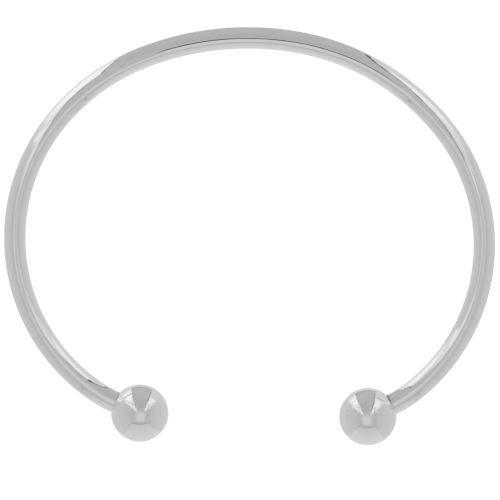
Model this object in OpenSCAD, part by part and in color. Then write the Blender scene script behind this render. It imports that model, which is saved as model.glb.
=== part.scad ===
// Open oval bangle: a round silver wire bent round the wrist, with a ball on each end.
// It lies flat, as it would by itself, on its two balls and the back of the wire.

/* [Wire] */
// Diameter of the wire, the same all the way round
wire_d = 3.0; // [2.6:0.1:3.4]
// Bend radius of the flattened back, to the middle of the wire
back_r = 40.0; // [38:0.5:42]

/* [Right arm] */
// Part of the back, in degrees, that belongs to the right arm
back_right_turn = 10.2; // [9:0.1:12]
// Bend radius of the right shoulder
shoulder_right_r = 33.2; // [32.5:0.1:34]
// Turn of the right shoulder, in degrees
shoulder_right_turn = 40.4; // [39:0.1:42]
// Bend radius of the right side
side_right_r = 25.9; // [25.4:0.1:26.4]
// Turn of the right side, in degrees
side_right_turn = 88.0; // [86:0.1:90]
// Bend radius of the last stretch, where the wire turns in to the right ball
end_right_r = 19.0; // [18:0.5:20]
// Turn of that last stretch, in degrees
end_right_turn = 14.0; // [13:0.1:15]

/* [Left arm] */
// Part of the back, in degrees, that belongs to the left arm
back_left_turn = 22.0; // [21:0.1:23]
// Bend radius of the left shoulder
shoulder_left_r = 29.3; // [28.5:0.1:30]
// Turn of the left shoulder, in degrees
shoulder_left_turn = 29.3; // [28:0.1:31]
// Bend radius of the left side
side_left_r = 25.8; // [25.3:0.1:26.3]
// Turn of the left side, in degrees
side_left_turn = 94.9; // [93:0.1:96]
// Bend radius of the last stretch, where the wire turns in to the left ball
end_left_r = 18.0; // [17:0.5:19]
// Turn of that last stretch, in degrees
end_left_turn = 10.4; // [9:0.1:12]

/* [Balls] */
// Diameter of each ball
ball_d = 8.0; // [7:0.1:9]
// Length of straight wire held inside each ball, from the ball's surface
seat_depth = 2.6; // [1.6:0.1:3]
// Clearance between the wire and its drilled seat, round it and at its end
seat_clearance = 0.05; // [0.04:0.01:0.1]
// Width of the small bevel round the mouth of each seat
seat_bevel = 0.12; // [0.08:0.01:0.2]

/* [Quality] */
// Facets round each full circle in the preview
facets = 96; // [48:8:192]

/* [Hidden] */

$fn = facets;
overshoot = 0.5;
wire_r = wire_d / 2;
ball_r = ball_d / 2;
seat_r = wire_r + seat_clearance;

// An arm is a table of bends, one row for each: radius, turn in degrees.
// It starts in the middle of the back, heading along X, and bends towards -Y.
right_arm = [
    [back_r, back_right_turn],
    [shoulder_right_r, shoulder_right_turn],
    [side_right_r, side_right_turn],
    [end_right_r, end_right_turn],
];
left_arm = [
    [back_r, back_left_turn],
    [shoulder_left_r, shoulder_left_turn],
    [side_left_r, side_left_turn],
    [end_left_r, end_left_turn],
];
side_row = 2;

// Every other bend is a hundredth slimmer and runs on a little way into its neighbours.
// Bends that only touched face to face wouldn't join into one solid.
slimmer = 0.01;
run_on = 0.2;
function bend_wire_r(i) = wire_r - (i % 2) * slimmer;
function bend_run_on(arm, i) = (i % 2) * run_on / arm[i][0] * 180 / PI;

// Heading of the wire, in degrees clockwise from X, before row i of an arm
function heading(arm, i) = i == 0 ? 0 : heading(arm, i - 1) + arm[i - 1][1];

// Centre of row i's bend, and the point on the wire where row i starts
function bend_centre(arm, i) =
    start_point(arm, i) - arm[i][0] * [sin(heading(arm, i)), cos(heading(arm, i))];
function start_point(arm, i) =
    i == 0 ? [0, 0]
    : bend_centre(arm, i - 1) + arm[i - 1][0] * [sin(heading(arm, i)), cos(heading(arm, i))];

// The ball's centre lies straight on from the arm's end, where the wire meets the ball's surface
to_ball = sqrt(ball_r * ball_r - wire_r * wire_r);
function end_heading(arm) = heading(arm, len(arm));
function ball_centre(arm) =
    start_point(arm, len(arm)) + to_ball * [cos(end_heading(arm)), -sin(end_heading(arm))];

// The left arm is drawn as a right one and mirrored
function mirrored(p) = [-p[0], p[1]];
right_ball = ball_centre(right_arm);
left_ball = mirrored(ball_centre(left_arm));

// The plan is turned so that the line through both balls lies along X
level = atan2(right_ball[1] - left_ball[1], right_ball[0] - left_ball[0]);
function levelled(p) = [
    p[0] * cos(level) + p[1] * sin(level),
    p[1] * cos(level) - p[0] * sin(level),
];
ball_line_y = levelled(right_ball)[1];
back_y = levelled([0, -back_r])[1] + back_r - ball_line_y;

// The balls are thicker than the wire, so the bangle leans back until the wire touches too
lean = asin((ball_r - wire_r) / back_y);

// Middle of the bangle's length and depth as it lies, measured from the ball line
right_x = levelled(bend_centre(right_arm, side_row))[0] + side_right_r + wire_r;
left_x = levelled(mirrored(bend_centre(left_arm, side_row)))[0] - side_left_r - wire_r;
middle_x = (right_x + left_x) / 2;
middle_y = (back_y * cos(lean) + wire_r - ball_r) / 2;

// Lays the plan on the floor, with the origin under the middle of the bangle
module lying() {
    translate([-middle_x, -middle_y, ball_r])
        rotate([-lean, 0, 0])
            translate([0, -ball_line_y, 0])
                rotate([0, 0, -level])
                    children();
}

// Moves to the end of an arm: the origin at the ball's centre, +Z out along the wire
module at_ball(arm) {
    translate(ball_centre(arm))
        rotate([0, 90, 180 - end_heading(arm)])
            children();
}

// A stretch of wire bent to radius r, ending at an angle to X and turning back from there
module bent_wire(r, section_r, end_angle, turn) {
    rotate([0, 0, end_angle])
        rotate_extrude(angle = turn)
            translate([r, 0])
                circle(r = section_r);
}

// One bend of an arm: row i of its table
module bend(arm, i) {
    extra = bend_run_on(arm, i);
    translate(bend_centre(arm, i))
        bent_wire(arm[i][0], bend_wire_r(i), 90 - heading(arm, i + 1) - extra, arm[i][1] + 2 * extra);
}

// The back of the hoop, which both arms grow from
module back() {
    translate([0, -back_r])
        bent_wire(back_r, wire_r, 90 - back_right_turn, back_right_turn + back_left_turn);
}

// The bends of one arm past the back, and the straight end that goes into the ball
module arm_wire(arm) {
    for (i = [1 : len(arm) - 1])
        bend(arm, i);
    at_ball(arm)
        translate([0, 0, to_ball - seat_depth])
            cylinder(r = wire_r, h = seat_depth);
}

// A ball with the blind hole that the wire's end sits in, and the bevel round its mouth
module drilled_ball(arm) {
    mouth_z = sqrt(ball_r * ball_r - seat_r * seat_r);
    at_ball(arm)
        difference() {
            sphere(r = ball_r);
            translate([0, 0, to_ball - seat_depth - seat_clearance])
                cylinder(r = seat_r, h = ball_r);
            translate([0, 0, mouth_z - seat_bevel])
                cylinder(r1 = seat_r, r2 = seat_r + seat_bevel + overshoot, h = seat_bevel + overshoot);
        }
}

module hoop() {
    color("silver")
        lying() {
            back();
            arm_wire(right_arm);
            mirror([1, 0, 0])
                arm_wire(left_arm);
        }
}

module ball_left() {
    color("silver")
        lying()
            mirror([1, 0, 0])
                drilled_ball(left_arm);
}

module ball_right() {
    color("silver")
        lying()
            drilled_ball(right_arm);
}

hoop();
ball_left();
ball_right();
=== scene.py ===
import math

import bmesh
import bpy
from mathutils import Matrix, Vector


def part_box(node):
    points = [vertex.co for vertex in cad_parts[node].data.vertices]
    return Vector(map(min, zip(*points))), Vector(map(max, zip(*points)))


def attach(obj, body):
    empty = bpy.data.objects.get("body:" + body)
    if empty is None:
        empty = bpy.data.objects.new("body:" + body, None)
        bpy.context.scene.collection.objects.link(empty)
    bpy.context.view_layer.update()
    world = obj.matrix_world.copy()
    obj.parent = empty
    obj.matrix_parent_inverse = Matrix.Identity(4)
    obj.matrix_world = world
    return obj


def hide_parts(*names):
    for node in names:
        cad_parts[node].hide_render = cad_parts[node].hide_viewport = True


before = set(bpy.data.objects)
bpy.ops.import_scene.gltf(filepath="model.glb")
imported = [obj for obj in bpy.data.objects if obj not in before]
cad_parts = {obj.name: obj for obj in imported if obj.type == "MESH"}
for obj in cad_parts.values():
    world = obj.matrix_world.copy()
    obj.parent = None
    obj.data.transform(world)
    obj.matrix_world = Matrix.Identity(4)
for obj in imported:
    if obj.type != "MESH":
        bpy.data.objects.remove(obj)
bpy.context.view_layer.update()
print("Frame loaded, nodes:", ", ".join(sorted(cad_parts)))


# Small helpers for places and meshes

weldDistance = 1e-7


def middleOf(node):
    low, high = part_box(node)
    return (low + high) / 2


def onlyKind(geometry, kind):
    return [item for item in geometry if isinstance(item, kind)]


def finishMesh(name, bm, place, sharpAngle):
    bmesh.ops.remove_doubles(bm, verts=bm.verts, dist=weldDistance)
    bmesh.ops.recalc_face_normals(bm, faces=bm.faces)
    bmesh.ops.transform(bm, matrix=place, verts=bm.verts)
    for face in bm.faces:
        face.smooth = True
    for edge in bm.edges:
        edge.smooth = edge.calc_face_angle(0.0) < sharpAngle
    mesh = bpy.data.meshes.new(name)
    bm.to_mesh(mesh)
    bm.free()
    piece = bpy.data.objects.new(name, mesh)
    bpy.context.scene.collection.objects.link(piece)
    return piece


# The wire, drawn flat: it starts in the middle of the back, and each arm bends round to its ball

wire = {
    "diameter": 0.0030,
    "rightBends": [(0.0400, 10.2), (0.0332, 40.4), (0.0259, 88.0), (0.0190, 14.0)],  # radius, degrees
    "leftBends": [(0.0400, 22.0), (0.0293, 29.3), (0.0258, 94.9), (0.0180, 10.4)],
    "heldInBall": 0.0026,  # straight length past the ball's surface
    "seamShade": {1: 0.95, -1: 0.40},  # painted shade in the seam at the right and the left ball, darkest on the wrist side
    "sides": 96,
    "ringSpacing": 0.00042,
    "sharpAngle": math.radians(40),
}
wireRadius = wire["diameter"] / 2
ballRadius = (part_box("ball_left")[1].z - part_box("ball_left")[0].z) / 2
wireEndToBall = math.sqrt(ballRadius ** 2 - wireRadius ** 2)


def armPath(bends, side):
    point = Vector((0, 0, 0))
    turned = 0.0
    stretches = []
    for radius, degrees in bends:
        centre = point - radius * Vector((side * math.sin(turned), math.cos(turned), 0))
        turn = math.radians(degrees)
        turned += turn
        point = centre + radius * Vector((side * math.sin(turned), math.cos(turned), 0))
        stretches.append((centre, radius, turn))
    heading = Vector((side * math.cos(turned), -math.sin(turned), 0))
    return stretches, point, heading


def layFlat(rightBall, leftBall):
    # the line through the balls lies along X, and the bangle leans back until the wire touches the floor
    across = rightBall - leftBall
    level = Matrix.Rotation(-math.atan2(across.y, across.x), 4, "Z")
    backCentre = level @ Vector((0, -wire["rightBends"][0][0], 0))
    backDepth = backCentre.y + wire["rightBends"][0][0] - (level @ rightBall).y
    lean = math.asin((ballRadius - wireRadius) / backDepth)
    ballMiddle = (middleOf("ball_left") + middleOf("ball_right")) / 2
    planMiddle = Matrix.Translation(-(rightBall + leftBall) / 2)
    place = Matrix.Translation(ballMiddle) @ Matrix.Rotation(-lean, 4, "X") @ level @ planMiddle
    return place, ballMiddle, lean


rightPath = armPath(wire["rightBends"], 1)
leftPath = armPath(wire["leftBends"], -1)
rightBall = rightPath[1] + wireEndToBall * rightPath[2]
leftBall = leftPath[1] + wireEndToBall * leftPath[2]
place, ballMiddle, lean = layFlat(rightBall, leftBall)


def sweepArm(bm, ring, path, side, surface, paintedShade):
    stretches, _, heading = path
    along = 0.0
    for centre, radius, turn in stretches:
        steps = max(2, round(radius * turn / wire["ringSpacing"]))
        for step in range(steps):
            swept = bmesh.ops.spin(bm, geom=ring, cent=centre, axis=(0, 0, 1), angle=-side * turn / steps,
                                   steps=1, use_duplicate=False)
            ring = swept["geom_last"]
            along += side * radius * turn / steps
            for vert in onlyKind(ring, bmesh.types.BMVert):
                vert[surface].x = along
    # the ring at the ball takes painted shade for the seam, darkest on the wrist side
    for vert in onlyKind(ring, bmesh.types.BMVert):
        wristSide = (1 - vert[surface].y / wireRadius) / 2  # 1 towards the wrist, 0 on the outside
        vert[paintedShade] = wire["seamShade"][side] * wristSide
    swept = bmesh.ops.extrude_edge_only(bm, edges=onlyKind(ring, bmesh.types.BMEdge))
    verts = onlyKind(swept["geom"], bmesh.types.BMVert)
    bmesh.ops.translate(bm, verts=verts, vec=heading * wire["heldInBall"])
    for vert in verts:
        vert[surface].x = along + side * wire["heldInBall"]


def makeHoop():
    bm = bmesh.new()
    surface = bm.verts.layers.float_vector.new("wireSurface")
    paintedShade = bm.verts.layers.float.new("seamShade")
    upright = Matrix.Rotation(math.pi / 2, 4, "Y")
    bmesh.ops.create_circle(bm, segments=wire["sides"], radius=wireRadius, cap_ends=False, matrix=upright)
    for vert in bm.verts:
        vert[surface] = vert.co
    firstRing = list(bm.verts) + list(bm.edges)
    sweepArm(bm, firstRing, rightPath, 1, surface, paintedShade)
    sweepArm(bm, firstRing, leftPath, -1, surface, paintedShade)
    bmesh.ops.holes_fill(bm, edges=[edge for edge in bm.edges if edge.is_boundary], sides=0)
    return finishMesh("silver_hoop", bm, place, wire["sharpAngle"])


hoop = makeHoop()
print("Hoop swept,", len(hoop.data.polygons), "faces")


# The balls: one profile spun round the line of the wire, with a blind seat for the wire's end

ball = {
    "seatClearance": 0.00005,
    "mouthBevel": 0.00012,
    "mouthTolerance": 0.000001,  # how far off the mouth's ring a corner may lie
    "bevelSegments": 4,
    "profileSteps": 96,
    "turnSteps": 128,
    "sharpAngle": math.radians(40),
}


def makeBall(name, planCentre, heading):
    seatRadius = wireRadius + ball["seatClearance"]
    mouthAngle = math.asin(seatRadius / ballRadius)
    seatFloor = wireEndToBall - wire["heldInBall"] - ball["seatClearance"]
    bm = bmesh.new()
    farPole = bmesh.ops.create_vert(bm, co=(0, 0, -ballRadius))["vert"][0]
    arc = bmesh.ops.spin(bm, geom=[farPole], cent=(0, 0, 0), axis=(0, 1, 0), angle=mouthAngle - math.pi,
                         steps=ball["profileSteps"], use_duplicate=False)
    last = onlyKind(arc["geom_last"], bmesh.types.BMVert)[0]
    for corner in ((last.co.x, 0, seatFloor), (0, 0, seatFloor)):
        step = bmesh.ops.extrude_vert_indiv(bm, verts=[last])
        last = step["verts"][0]
        last.co = corner
    bmesh.ops.spin(bm, geom=list(bm.verts) + list(bm.edges), cent=(0, 0, 0), axis=(0, 0, 1),
                   angle=2 * math.pi, steps=ball["turnSteps"], use_merge=True, use_duplicate=False)
    bmesh.ops.remove_doubles(bm, verts=bm.verts, dist=weldDistance)
    mouthHeight = ballRadius * math.cos(mouthAngle)

    def onMouth(vert):
        offRing = max(abs(vert.co.z - mouthHeight), abs(vert.co.xy.length - seatRadius))
        return offRing < ball["mouthTolerance"]

    mouth = [edge for edge in bm.edges if all(onMouth(vert) for vert in edge.verts)]
    bmesh.ops.bevel(bm, geom=mouth, offset=ball["mouthBevel"], offset_type="OFFSET", affect="EDGES",
                    segments=ball["bevelSegments"], profile=0.5, material=-1)
    towardsWire = (-heading).to_track_quat("Z", "Y").to_matrix().to_4x4()
    return finishMesh(name, bm, place @ Matrix.Translation(planCentre) @ towardsWire, ball["sharpAngle"])


leftBead = makeBall("silver_ball_left", leftBall, leftPath[2])
rightBead = makeBall("silver_ball_right", rightBall, rightPath[2])
print("Balls spun,", len(leftBead.data.polygons), "faces each")


# Polished silver: faint hairlines, a slightly uneven polish and a hand-buffed surface

silver = {
    "colour": (0.935, 0.935, 0.935, 1.0),
    # colour of the painted shade in the seam beside each ball
    "shadeColour": (0.10, 0.095, 0.09, 1.0),
    "shadeSharpness": 1.6,
    "hairlineDetail": 3.0,
    "hairlineStrength": 0.5,
    "cloudScale": 260.0,
    "cloudDetail": 4.0,
    "cloudRange": (0.3, 0.7),  # the part of the clouds' range that changes the polish
    "roughness": (0.028, 0.052),
    "waveDetail": 1.0,
    "waveDepth": 0.00010,
    "waveStrength": 0.18,
}


def link(tree, source, output, target, socket):
    tree.links.new(source.outputs[output], target.inputs[socket])


def polishedSilver(name, surfaceFrom, hairlineScale, hairlineDepth, waveScale):
    material = bpy.data.materials.new(name)
    material.use_nodes = True
    tree = material.node_tree
    nodes = tree.nodes
    shader = nodes["Principled BSDF"]
    shader.inputs["Metallic"].default_value = 1.0
    shader.inputs["Base Color"].default_value = silver["colour"]
    if surfaceFrom == "Object":
        surface = nodes.new("ShaderNodeTexCoord")
        surfaceOutput = "Object"
    else:
        surface = nodes.new("ShaderNodeAttribute")
        surface.attribute_name = surfaceFrom
        surfaceOutput = "Vector"

    # hairlines run the long way of the pattern, because it is squeezed in the other two
    stretch = nodes.new("ShaderNodeMapping")
    stretch.inputs["Scale"].default_value = hairlineScale
    hairlines = nodes.new("ShaderNodeTexNoise")
    hairlines.inputs["Scale"].default_value = 1.0
    hairlines.inputs["Detail"].default_value = silver["hairlineDetail"]
    link(tree, surface, surfaceOutput, stretch, "Vector")
    link(tree, stretch, "Vector", hairlines, "Vector")

    # cloudy change of polish
    clouds = nodes.new("ShaderNodeTexNoise")
    clouds.inputs["Scale"].default_value = silver["cloudScale"]
    clouds.inputs["Detail"].default_value = silver["cloudDetail"]
    link(tree, surface, surfaceOutput, clouds, "Vector")
    polish = nodes.new("ShaderNodeMapRange")
    polish.inputs["From Min"].default_value = silver["cloudRange"][0]
    polish.inputs["From Max"].default_value = silver["cloudRange"][1]
    polish.inputs["To Min"].default_value = silver["roughness"][0]
    polish.inputs["To Max"].default_value = silver["roughness"][1]
    link(tree, clouds, "Fac", polish, "Value")
    link(tree, polish, "Result", shader, "Roughness")

    # slow waves left by bending and buffing
    waves = nodes.new("ShaderNodeTexNoise")
    waves.inputs["Scale"].default_value = waveScale
    waves.inputs["Detail"].default_value = silver["waveDetail"]
    link(tree, surface, surfaceOutput, waves, "Vector")
    waveBump = nodes.new("ShaderNodeBump")
    waveBump.inputs["Distance"].default_value = silver["waveDepth"]
    waveBump.inputs["Strength"].default_value = silver["waveStrength"]
    link(tree, waves, "Fac", waveBump, "Height")
    hairlineBump = nodes.new("ShaderNodeBump")
    hairlineBump.inputs["Distance"].default_value = hairlineDepth
    hairlineBump.inputs["Strength"].default_value = silver["hairlineStrength"]
    link(tree, hairlines, "Fac", hairlineBump, "Height")
    link(tree, waveBump, "Normal", hairlineBump, "Normal")
    link(tree, hairlineBump, "Normal", shader, "Normal")
    return material


def shadeSeams(material):
    # painted shade in the seam beside each ball, darkest on the wrist side
    tree = material.node_tree
    paintedShade = tree.nodes.new("ShaderNodeAttribute")
    paintedShade.attribute_name = "seamShade"
    shadeEdge = tree.nodes.new("ShaderNodeMath")
    shadeEdge.operation = "POWER"
    shadeEdge.inputs[1].default_value = silver["shadeSharpness"]
    link(tree, paintedShade, "Fac", shadeEdge, 0)
    tint = tree.nodes.new("ShaderNodeMix")
    tint.data_type = "RGBA"
    tint.inputs["A"].default_value = silver["colour"]
    tint.inputs["B"].default_value = silver["shadeColour"]
    link(tree, shadeEdge, "Value", tint, "Factor")
    link(tree, tint, "Result", tree.nodes["Principled BSDF"], "Base Color")


drawnSilver = polishedSilver("drawn_wire_silver", "wireSurface", hairlineScale=(70.0, 3400.0, 3400.0),
                             hairlineDepth=0.000012, waveScale=160.0)
shadeSeams(drawnSilver)
turnedSilver = polishedSilver("buffed_ball_silver", "Object", hairlineScale=(8000.0, 600.0, 8000.0),
                              hairlineDepth=0.0000015, waveScale=180.0)
hoop.data.materials.append(drawnSilver)
leftBead.data.materials.append(turnedSilver)
rightBead.data.materials.append(turnedSilver)
print("Silver finished")

for piece, node in ((hoop, "hoop"), (leftBead, "ball_left"), (rightBead, "ball_right")):
    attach(piece, "root")
    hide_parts(node)


# The camera looks straight down on the plane of the bangle, through a long lens

view = {
    "lens": 600.0,
    "sensorWidth": 36.0,
    "nearest": 0.01,
    "farthest": 20.0,
    "frameWidth": 0.0695,  # real width across the picture, at the wire
    "centreRight": -0.00053,  # picture's centre, from the middle of the ball line
    "centreUp": 0.02292,
    "roll": math.radians(0.88),  # the right ball sits a little lower in the picture
}

cameraBack = Vector((0, math.sin(lean), math.cos(lean)))
planeUp = cameraBack.cross(Vector((1, 0, 0)))
pictureRight = Vector((1, 0, 0)) * math.cos(view["roll"]) + planeUp * math.sin(view["roll"])
pictureUp = cameraBack.cross(pictureRight)
pictureAxes = Matrix((pictureRight, pictureUp, cameraBack)).transposed().to_4x4()


def makeCamera():
    data = bpy.data.cameras.new("camera")
    data.lens = view["lens"]
    data.sensor_width = view["sensorWidth"]
    data.clip_start = view["nearest"]
    data.clip_end = view["farthest"]
    camera = bpy.data.objects.new("camera", data)
    bpy.context.scene.collection.objects.link(camera)
    target = ballMiddle + pictureRight * view["centreRight"] + pictureUp * view["centreUp"]
    distance = view["frameWidth"] * view["lens"] / view["sensorWidth"]
    camera.matrix_world = Matrix.Translation(target + cameraBack * distance) @ pictureAxes
    bpy.context.scene.camera = camera


makeCamera()
print("Camera placed")


# Light tent, in millimetres, measured from the middle of the ball line: right, up and towards the camera

tent = {
    "side": 175,
    "lower": 184,
    "upper": 145,
    "front": 195,
    "behind": 420,
    "cell": 7,
    "cardLift": 1,  # cards lie this far in front of the cloth
    "fadeFrom": -124,  # from here to the front, a wall's glow goes over to its front glow
    "seamWidth": 8,  # dark seam between the front and the lower wall, on either side of the corner
    "ribbonRise": 1.6,  # the ribbons' plane goes through the ball line and rises this steeply
}
tentPlace = Matrix.Translation(ballMiddle) @ pictureAxes @ Matrix.Scale(0.001, 4)


def litCloth():
    material = bpy.data.materials.new("lit_cloth")
    material.use_nodes = True
    tree = material.node_tree
    tree.nodes.clear()
    output = tree.nodes.new("ShaderNodeOutputMaterial")
    emission = tree.nodes.new("ShaderNodeEmission")
    glow = tree.nodes.new("ShaderNodeAttribute")
    glow.attribute_name = "glow"
    link(tree, glow, "Fac", emission, "Strength")
    link(tree, emission, "Emission", output, "Surface")
    return material


cloth = litCloth()


def hangUp(name, bm):
    mesh = bpy.data.meshes.new(name)
    bm.to_mesh(mesh)
    bm.free()
    mesh.materials.append(cloth)
    panel = bpy.data.objects.new(name, mesh)
    bpy.context.scene.collection.objects.link(panel)
    panel.matrix_world = tentPlace
    panel.visible_camera = False


def lampShare(oneLamp, across, up):
    # 1 in the middle of a soft lamp behind the cloth, 0 beyond its reach, which is a rounded rectangle
    turn = math.radians(oneLamp["turn"])
    fromMiddle = Vector((across, up)) - Vector(oneLamp["middle"])
    along = fromMiddle.x * math.cos(turn) + fromMiddle.y * math.sin(turn)
    aside = fromMiddle.y * math.cos(turn) - fromMiddle.x * math.sin(turn)
    distance = ((along / oneLamp["reach"][0]) ** 4 + (aside / oneLamp["reach"][1]) ** 4) ** 0.25
    share = min(1.0, max(0.0, (1 - distance) / oneLamp["softness"]))
    return share * share * (3 - 2 * share)


def lamp(middle, reach, glow, softness=0.55, turn=0):
    return {"middle": middle, "reach": reach, "glow": glow, "softness": softness, "turn": turn}


def clothWall(name, low, high, onWall, glow, lamps):
    # glow holds two values, for the back and for the front of the tent
    backGlow, frontGlow = glow
    bm = bmesh.new()
    level = bm.verts.layers.float.new("glow")
    bmesh.ops.create_grid(bm, x_segments=round((high[0] - low[0]) / tent["cell"]),
                          y_segments=round((high[1] - low[1]) / tent["cell"]), size=1.0)
    for vert in bm.verts:
        across = low[0] + (high[0] - low[0]) * (vert.co.x + 1) / 2
        up = low[1] + (high[1] - low[1]) * (vert.co.y + 1) / 2
        vert.co = onWall(across, up, 0)
        towardsFront = (vert.co.z - tent["fadeFrom"]) / (tent["front"] - tent["fadeFrom"])
        towardsFront = min(1.0, max(0.0, towardsFront))
        here = backGlow + (frontGlow - backGlow) * towardsFront
        for oneLamp in lamps:
            here += (oneLamp["glow"] - here) * lampShare(oneLamp, across, up)
        vert[level] = here
    hangUp(name, bm)


def card(name, corners, glow):
    # a flat card with one glow, or with one for each corner
    bm = bmesh.new()
    level = bm.verts.layers.float.new("glow")
    verts = [bmesh.ops.create_vert(bm, co=corner)["vert"][0] for corner in corners]
    bmesh.ops.contextual_create(bm, geom=verts)
    for number, vert in enumerate(verts):
        vert[level] = glow[number] if isinstance(glow, (list, tuple)) else glow
    hangUp(name, bm)


def wallCard(name, onWall, corners, glow):
    card(name, [onWall(across, up, tent["cardLift"]) for across, up in corners], glow)


def edging(name, onWall, line, width, glow):
    # a narrow strip beside a line on a wall or on the ribbons' plane
    bm = bmesh.new()
    level = bm.verts.layers.float.new("glow")
    for (across, up), (nextAcross, nextUp) in zip(line, line[1:]):
        corners = [(across, up), (nextAcross, nextUp), (nextAcross + width, nextUp), (across + width, up)]
        verts = [bmesh.ops.create_vert(bm, co=onWall(*corner, 2 * tent["cardLift"]))["vert"][0]
                 for corner in corners]
        bmesh.ops.contextual_create(bm, geom=verts)
    for vert in bm.verts:
        vert[level] = glow
    hangUp(name, bm)


def makeUpperWall():
    side, front, behind = tent["side"], tent["front"], tent["behind"]

    def onWall(across, up, lift):
        return (across, tent["upper"] - lift, up)

    clothWall("upper_wall", (-side, -behind), (side, front), onWall, glow=(0.66, 0.62), lamps=[
        lamp((-114, 4), (94, 176), 0.96, softness=0.9),
        lamp((124, 88), (72, 112), 0.86, softness=0.7),
        lamp((118, -70), (60, 60), 0.66),
        lamp((-158, 185), (40, 50), 0.76),
        lamp((158, 185), (40, 50), 0.74),
    ])
    rightEdge = [(60, -118), (61, -20), (68, 40), (79, 92), (79, 140), (80, front)]
    leftEdge = [(-61, -118), (-69, -20), (-79, 50), (-81, 100), (-82, 140), (-86, front)]
    glows = [0.49, 0.49, 0.48, 0.46, 0.45, 0.44]
    wallCard("dark_card", onWall, rightEdge + leftEdge[::-1], glows + glows[::-1])
    edging("dark_card_right_edge", onWall, [(60, -70)] + rightEdge[1:3], width=4, glow=0.12)
    edging("dark_card_right_flare", onWall, rightEdge[2:], width=6, glow=0.08)
    edging("dark_card_left_edge", onWall, leftEdge[:3], width=-3, glow=0.22)
    edging("dark_card_left_flare", onWall, leftEdge[2:], width=-4, glow=0.26)
    backEdge = [(-64, -130), (62, -130), (62, -100), (-64, -100)]
    wallCard("dark_card_back_edge", onWall, backEdge, glow=0.20)


def makeFrontWall():
    side, lower, upper = tent["side"], tent["lower"], tent["upper"]

    def onWall(across, up, lift):
        return (across, up, tent["front"] - lift)

    clothWall("front_wall", (-side, -lower), (side, upper), onWall, glow=(0.50, 0.50), lamps=[
        lamp((-3, -54), (92, 96), 0.63),
        lamp((158, 98), (44, 34), 0.74, softness=0.8, turn=32),
        lamp((-158, 98), (44, 34), 0.74, softness=0.8, turn=148),
        lamp((-102, 96), (82, 32), 0.80, softness=0.6, turn=118),
        lamp((90, 96), (78, 30), 0.80, softness=0.6, turn=66),
        lamp((6, 120), (62, 70), 0.45),
        lamp((-165, 130), (50, 50), 0.76, softness=0.7),
        lamp((165, 135), (50, 50), 0.74, softness=0.7),
    ])
    edging("front_line_right", onWall, [(56, 74), (71, 108), (82, upper)], width=8, glow=0.12)
    edging("front_glint_right", onWall, [(53, 14), (60, 44), (66, 70)], width=8, glow=0.80)
    edging("front_glint_left", onWall, [(-52, 14), (-59, 44), (-66, 70)], width=-8, glow=0.80)
    edging("front_line_left", onWall, [(-62, 74), (-75, 108), (-87, upper)], width=-7, glow=0.22)

    # the balls show the dark seam and corners below their middle
    seamTop = tent["seamWidth"] - lower
    seam = [(-side, -lower), (side, -lower), (side, seamTop), (-side, seamTop)]
    wallCard("front_seam", onWall, seam, glow=0.24)
    for end in (-side, side):
        corner = [(end, -lower), (end * 0.86, -lower), (end, 24 - lower)]
        wallCard("front_corner", onWall, corner, glow=0.22)


def makeSideWalls():
    front, behind, lower, upper = tent["front"], tent["behind"], tent["lower"], tent["upper"]

    def onLeft(across, up, lift):
        return (-tent["side"] + lift, up, across)

    def onRight(across, up, lift):
        return (tent["side"] - lift, up, across)

    clothWall("left_wall", (-behind, -lower), (front, upper), onLeft, glow=(0.61, 0.52), lamps=[
        lamp((110, 146), (130, 34), 0.92, softness=0.5),
        lamp((20, 152), (170, 34), 0.70, softness=0.7),
    ])
    clothWall("right_wall", (-behind, -lower), (front, upper), onRight, glow=(0.62, 0.53), lamps=[
        lamp((140, 146), (95, 44), 0.72, softness=0.6),
        lamp((60, 152), (120, 34), 0.70, softness=0.7),
    ])


def makeLowerWall():
    side, front, behind = tent["side"], tent["front"], tent["behind"]

    def onWall(across, up, lift):
        return (across, -tent["lower"] + lift, up)

    clothWall("lower_wall", (-side, -behind), (side, front), onWall, glow=(0.68, 0.56), lamps=[
        lamp((-185, 50), (50, 300), 0.52, softness=0.9),
        lamp((185, 50), (50, 300), 0.54, softness=0.9),
    ])
    seamStart = front - tent["seamWidth"]
    seam = [(-side, seamStart), (side, seamStart), (side, front), (-side, front)]
    wallCard("lower_seam", onWall, seam, glow=0.30)
    for end in (-side, side):
        corner = [(end, 60), (end * 0.99, 60), (end * 0.955, front), (end, front)]
        wallCard("lower_corner", onWall, corner, glow=0.38)


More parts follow.
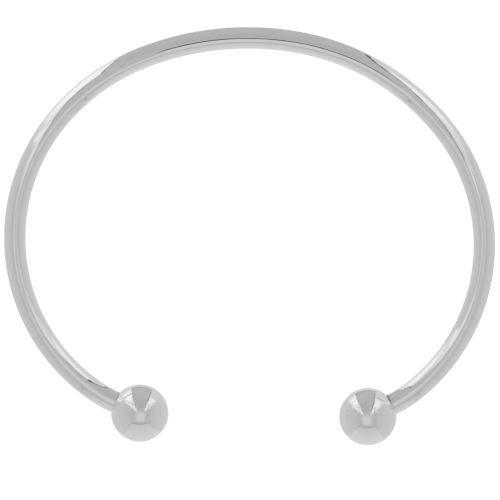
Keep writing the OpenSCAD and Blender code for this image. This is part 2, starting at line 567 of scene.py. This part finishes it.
def makeRibbons():
    # two slanting ribbons for the shoulders; the balls lie in their plane and see them edge-on
    def onSlant(across, up, lift):
        return (across, tent["ribbonRise"] * up, up)

    right = [(80, 90), (73, 82), (55, 60), (46, 48), (39.5, 39), (36.5, 33), (34, 28), (31, 23)]
    edging("right_ribbon", onSlant, right, width=-13, glow=0.49)
    edging("right_ribbon_dark_edge", onSlant, right[:3], width=7, glow=0.03)
    edging("right_ribbon_edge", onSlant, right[2:], width=2.4, glow=0.14)
    left = [(-86, 90), (-62, 57), (-55, 45), (-45, 36), (-37, 30), (-32.5, 24.5)]
    edging("left_ribbon", onSlant, left, width=24, glow=0.49)
    edging("left_ribbon_dark_edge", onSlant, left[:3], width=-7, glow=0.12)
    edging("left_ribbon_edge", onSlant, left[2:], width=-2, glow=0.30)


def makeTent():
    side, lower, upper = tent["side"], tent["lower"], tent["upper"]
    makeUpperWall()
    makeFrontWall()
    makeSideWalls()
    makeLowerWall()

    def onWall(across, up, lift):
        return (across, up, lift - tent["behind"])

    clothWall("wall_behind", (-side, -lower), (side, upper), onWall, glow=(0.75, 0.75), lamps=[])
    makeRibbons()

    # a dark bar, turned edge-on to the balls; only the back of the wire shows it
    bar = [(-12, 43.4, 50.3), (19, 42.6, 49.4), (19, 48.8, 56.6), (-12, 49.6, 57.5)]
    card("dark_bar", bar, glow=0.02)


# The floor and the light round the tent

studio = {
    "floorReach": 3.0,
    "floorColour": (0.9, 0.9, 0.9, 1.0),
    "floorGlow": 0.62,
    "lightColour": (1.0, 1.0, 1.0, 1.0),
    "lightStrength": 1.0,
}


def makeFloor():
    bm = bmesh.new()
    bmesh.ops.create_grid(bm, x_segments=1, y_segments=1, size=studio["floorReach"])
    mesh = bpy.data.meshes.new("floor")
    bm.to_mesh(mesh)
    bm.free()
    floor = bpy.data.objects.new("floor", mesh)
    bpy.context.scene.collection.objects.link(floor)
    material = bpy.data.materials.new("pale_floor")
    material.use_nodes = True
    shader = material.node_tree.nodes["Principled BSDF"]
    shader.inputs["Base Color"].default_value = studio["floorColour"]
    shader.inputs["Roughness"].default_value = 1.0
    shader.inputs["Specular IOR Level"].default_value = 0.0
    shader.inputs["Emission Color"].default_value = studio["lightColour"]
    shader.inputs["Emission Strength"].default_value = studio["floorGlow"]
    mesh.materials.append(material)
    floor.visible_glossy = False


def makeWorld():
    world = bpy.data.worlds.new("studio")
    world.use_nodes = True
    background = world.node_tree.nodes["Background"]
    background.inputs["Color"].default_value = studio["lightColour"]
    background.inputs["Strength"].default_value = studio["lightStrength"]
    bpy.context.scene.world = world


makeTent()
makeFloor()
makeWorld()
bpy.context.scene.view_settings.view_transform = "Standard"
print("Tent and floor set up")
